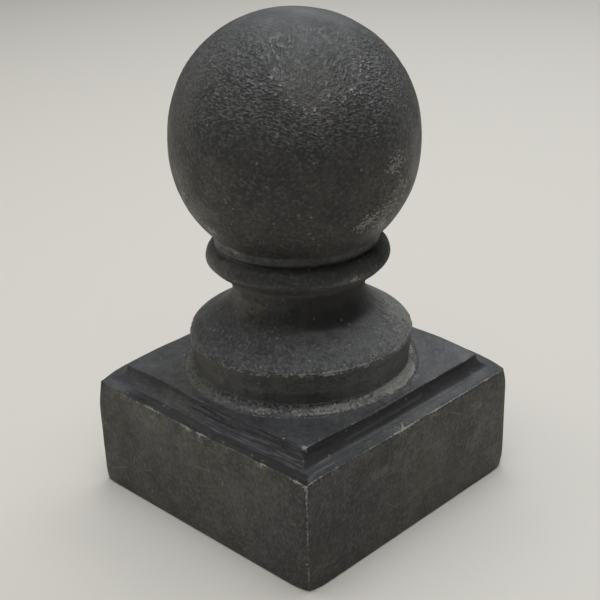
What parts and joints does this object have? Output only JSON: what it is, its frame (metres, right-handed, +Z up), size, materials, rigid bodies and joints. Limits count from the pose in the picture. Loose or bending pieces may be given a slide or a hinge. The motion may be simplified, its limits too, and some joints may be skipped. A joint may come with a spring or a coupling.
{
  "type": "ball post cap",
  "caption": "Cast post cap with a square skirt that slips over a post, a coved step, a turned foot, neck and collar, and a ball on top.",
  "frame": {"origin": "centre of the skirt's flat underside", "axes": "+Z up along the axis of the ball and the turned foot, X and Y square to the skirt's sides"},
  "size_m": [0.109, 0.109, 0.1786],
  "materials": {
    "black_painted_iron": "sand-cast iron under old brushed black paint, satin, rubbed pale on the arrises, with faint olive and rust tints"
  },
  "bodies": {
    "root": {"ball_post_cap": "black_painted_iron"}
  },
  "joints": []
}
